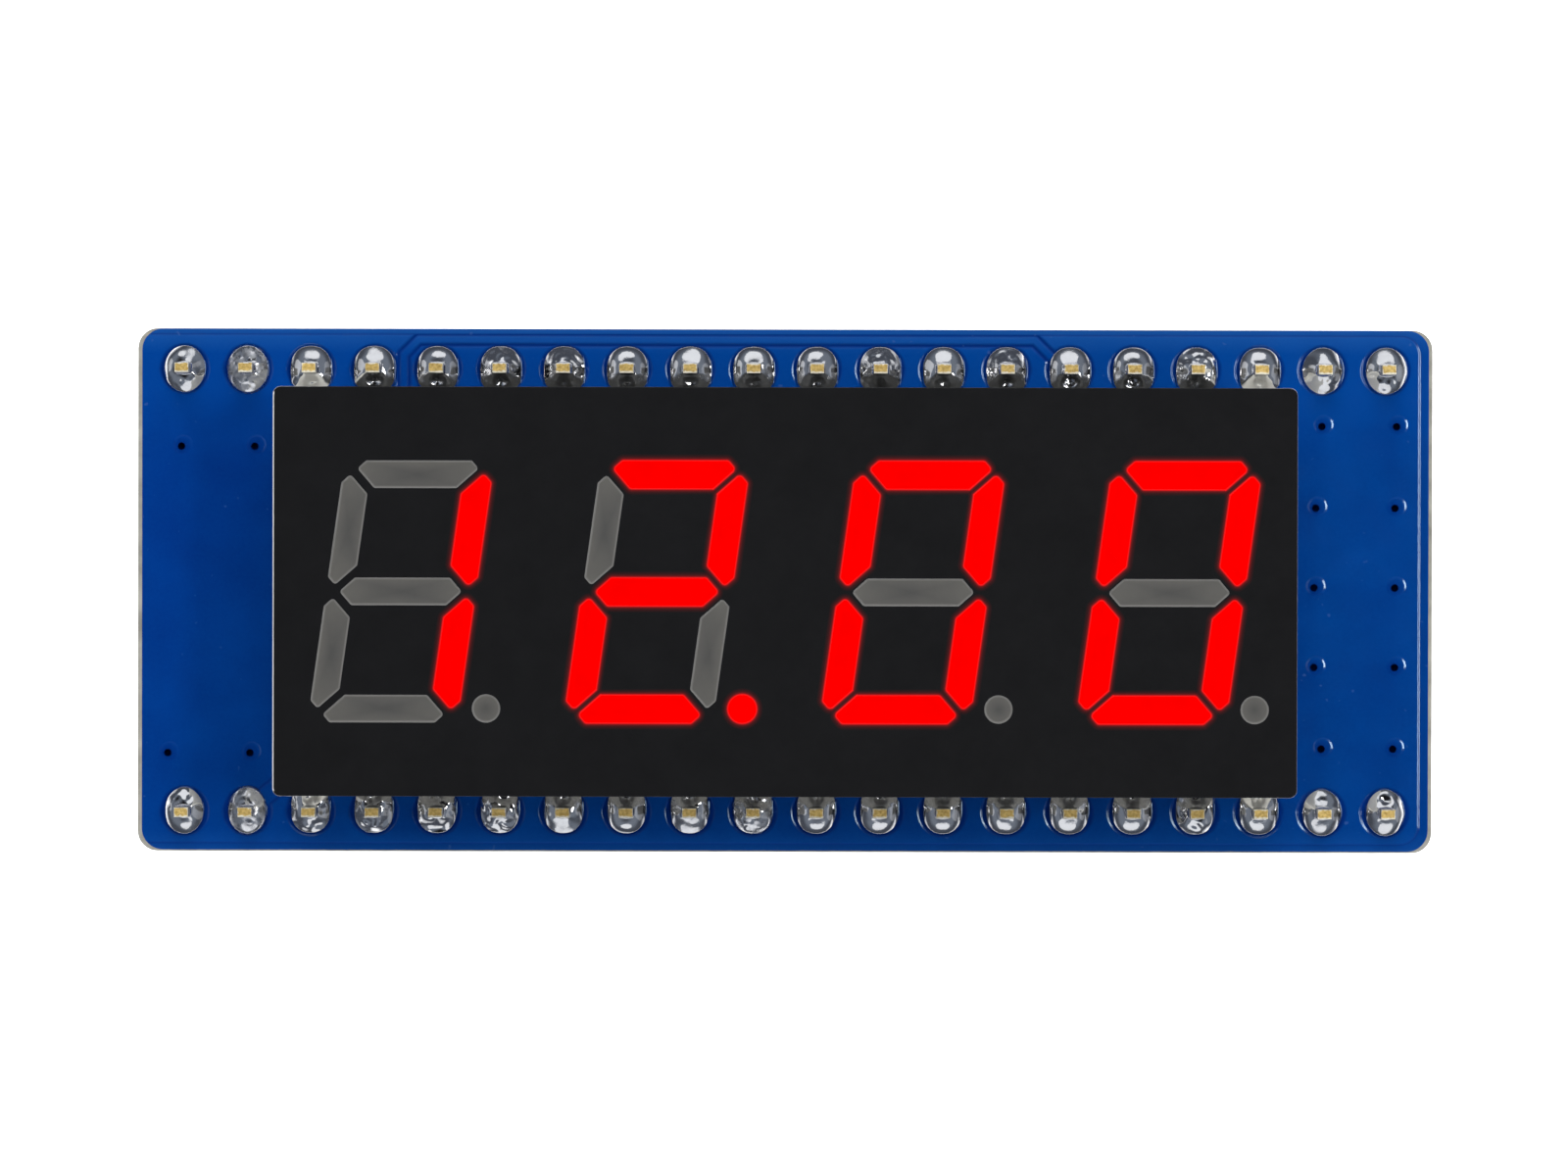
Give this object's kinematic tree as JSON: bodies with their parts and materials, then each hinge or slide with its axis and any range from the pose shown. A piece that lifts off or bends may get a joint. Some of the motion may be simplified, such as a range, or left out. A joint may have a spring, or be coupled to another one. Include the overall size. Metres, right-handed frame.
{
  "type": "seven segment display module",
  "caption": "Blue driver board with a slanted seven-segment display block on its front and two rows of pin sockets on its back.",
  "frame": {"origin": "on the plane of the socket mouths, under the middle of the module", "axes": "+X along the digits from first to last, +Y towards their tops, +Z out of the display face"},
  "size_m": [0.052, 0.021, 0.0171],
  "materials": {
    "board_mask": "blue solder mask on glass-fibre laminate, satin gloss",
    "housing_plastic": "white moulded plastic with a matt black face",
    "segment_lit": "diffuse resin, alight in red",
    "segment_dark": "diffuse resin, unlit warm grey",
    "led_die": "bare semiconductor die",
    "carrier_laminate": "bare laminate",
    "potting_resin": "cast resin",
    "tinned_wire": "tinned wire",
    "solder": "bright reflowed solder",
    "socket_plastic": "black moulded plastic",
    "contact_brass": "stamped strip with cut ends",
    "chip_resin": "moulded epoxy",
    "tinned_lead": "tin plate",
    "resistor_glaze": "black glaze",
    "capacitor_ceramic": "tan ceramic"
  },
  "bodies": {
    "root": {"circuit_board": "board_mask", "display_housing": "housing_plastic", "digit_1_segment_a": "segment_dark", "digit_1_segment_b": "segment_lit", "digit_1_segment_c": "segment_lit", "digit_1_segment_d": "segment_dark", "digit_1_segment_e": "segment_dark", "digit_1_segment_f": "segment_dark", "digit_1_segment_g": "segment_dark", "digit_1_point": "segment_dark", "digit_1_leds": "led_die", "digit_2_segment_a": "segment_lit", "digit_2_segment_b": "segment_lit", "digit_2_segment_c": "segment_dark", "digit_2_segment_d": "segment_lit", "digit_2_segment_e": "segment_lit", "digit_2_segment_f": "segment_dark", "digit_2_segment_g": "segment_lit", "digit_2_point": "segment_lit", "digit_2_leds": "led_die", "digit_3_segment_a": "segment_lit", "digit_3_segment_b": "segment_lit", "digit_3_segment_c": "segment_lit", "digit_3_segment_d": "segment_lit", "digit_3_segment_e": "segment_lit", "digit_3_segment_f": "segment_lit", "digit_3_segment_g": "segment_dark", "digit_3_point": "segment_dark", "digit_3_leds": "led_die", "digit_4_segment_a": "segment_lit", "digit_4_segment_b": "segment_lit", "digit_4_segment_c": "segment_lit", "digit_4_segment_d": "segment_lit", "digit_4_segment_e": "segment_lit", "digit_4_segment_f": "segment_lit", "digit_4_segment_g": "segment_dark", "digit_4_point": "segment_dark", "digit_4_leds": "led_die", "led_carrier": "carrier_laminate", "display_potting": "potting_resin", "display_pins": "tinned_wire", "display_pin_joints": "solder", "upper_socket_body": "socket_plastic", "upper_socket_contacts": "contact_brass", "upper_solder_joints": "solder", "lower_socket_body": "socket_plastic", "lower_socket_contacts": "contact_brass", "lower_solder_joints": "solder", "driver_chip_1_body": "chip_resin", "driver_chip_1_leads": "tinned_lead", "driver_chip_2_body": "chip_resin", "driver_chip_2_leads": "tinned_lead", "resistor_bodies": "resistor_glaze", "resistor_caps": "tinned_lead", "capacitor_bodies": "capacitor_ceramic", "capacitor_caps": "tinned_lead"}
  },
  "joints": []
}
